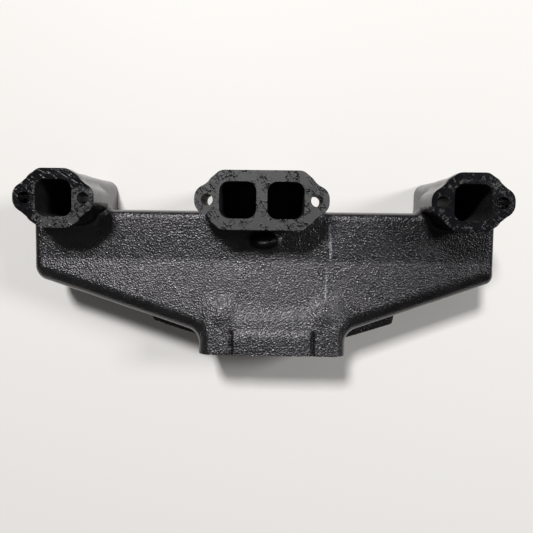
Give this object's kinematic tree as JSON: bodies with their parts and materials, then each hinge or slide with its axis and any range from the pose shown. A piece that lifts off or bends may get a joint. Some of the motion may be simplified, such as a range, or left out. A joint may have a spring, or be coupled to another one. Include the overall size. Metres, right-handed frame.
{
  "type": "marine exhaust manifold",
  "caption": "Water-jacketed cast iron log exhaust manifold for one bank of a V8, with bolted port flanges, a square central riser outlet and threaded plugs.",
  "frame": {"origin": "on the gasket face, centre of the web between the two middle ports", "axes": "+X along the row of ports, +Z out of the gasket face towards the cylinder head, -Y towards the riser outlet; the part lies on its outboard wall"},
  "size_m": [0.48, 0.1792, 0.13],
  "materials": {
    "casting": "semi-gloss black paint on rough sand-cast iron, bare dark gasket faces",
    "plug": "semi-gloss black paint over machined steel",
    "drain": "dull machined brass"
  },
  "bodies": {
    "root": {"manifold_casting": "casting", "end_plug_left": "plug", "end_plug_right": "plug", "core_plug_left": "plug", "core_plug_middle": "plug", "core_plug_right": "plug", "drain_plug_left": "drain", "drain_plug_right": "drain"}
  },
  "joints": []
}
